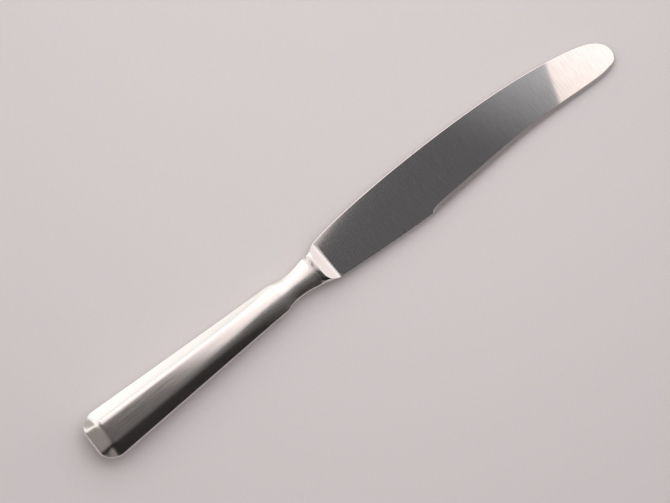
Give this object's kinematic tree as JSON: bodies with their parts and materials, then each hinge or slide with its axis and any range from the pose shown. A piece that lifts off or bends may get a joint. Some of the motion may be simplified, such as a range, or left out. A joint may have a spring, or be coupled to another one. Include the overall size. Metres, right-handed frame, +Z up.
{
  "type": "dessert knife",
  "caption": "Dessert knife with a broad round-tipped steel blade, a forged bolster and a plain faceted hollow handle in silver plate, for spreading and cutting soft food at the table.",
  "frame": {"origin": "on the table under the middle of the knife's length, on the handle's middle line, with the knife lying on its side", "axes": "+X along the knife from the butt to the tip, +Y across the blade towards the spine, +Z up, square to the plane between the two handle shells"},
  "size_m": [0.21, 0.0194, 0.0105],
  "materials": {
    "blade_steel": "stainless steel, sides brushed across the blade, bolster and ground edge polished",
    "silver_plate": "silver plate, buffed, with light wear from use",
    "silver_solder": "hard solder dressed flush and plated over",
    "handle_cement": "matte, set hard"
  },
  "bodies": {
    "root": {"blade": "blade_steel", "upper_handle_shell": "silver_plate", "lower_handle_shell": "silver_plate", "seam_solder": "silver_solder", "handle_cement": "handle_cement"}
  },
  "joints": []
}
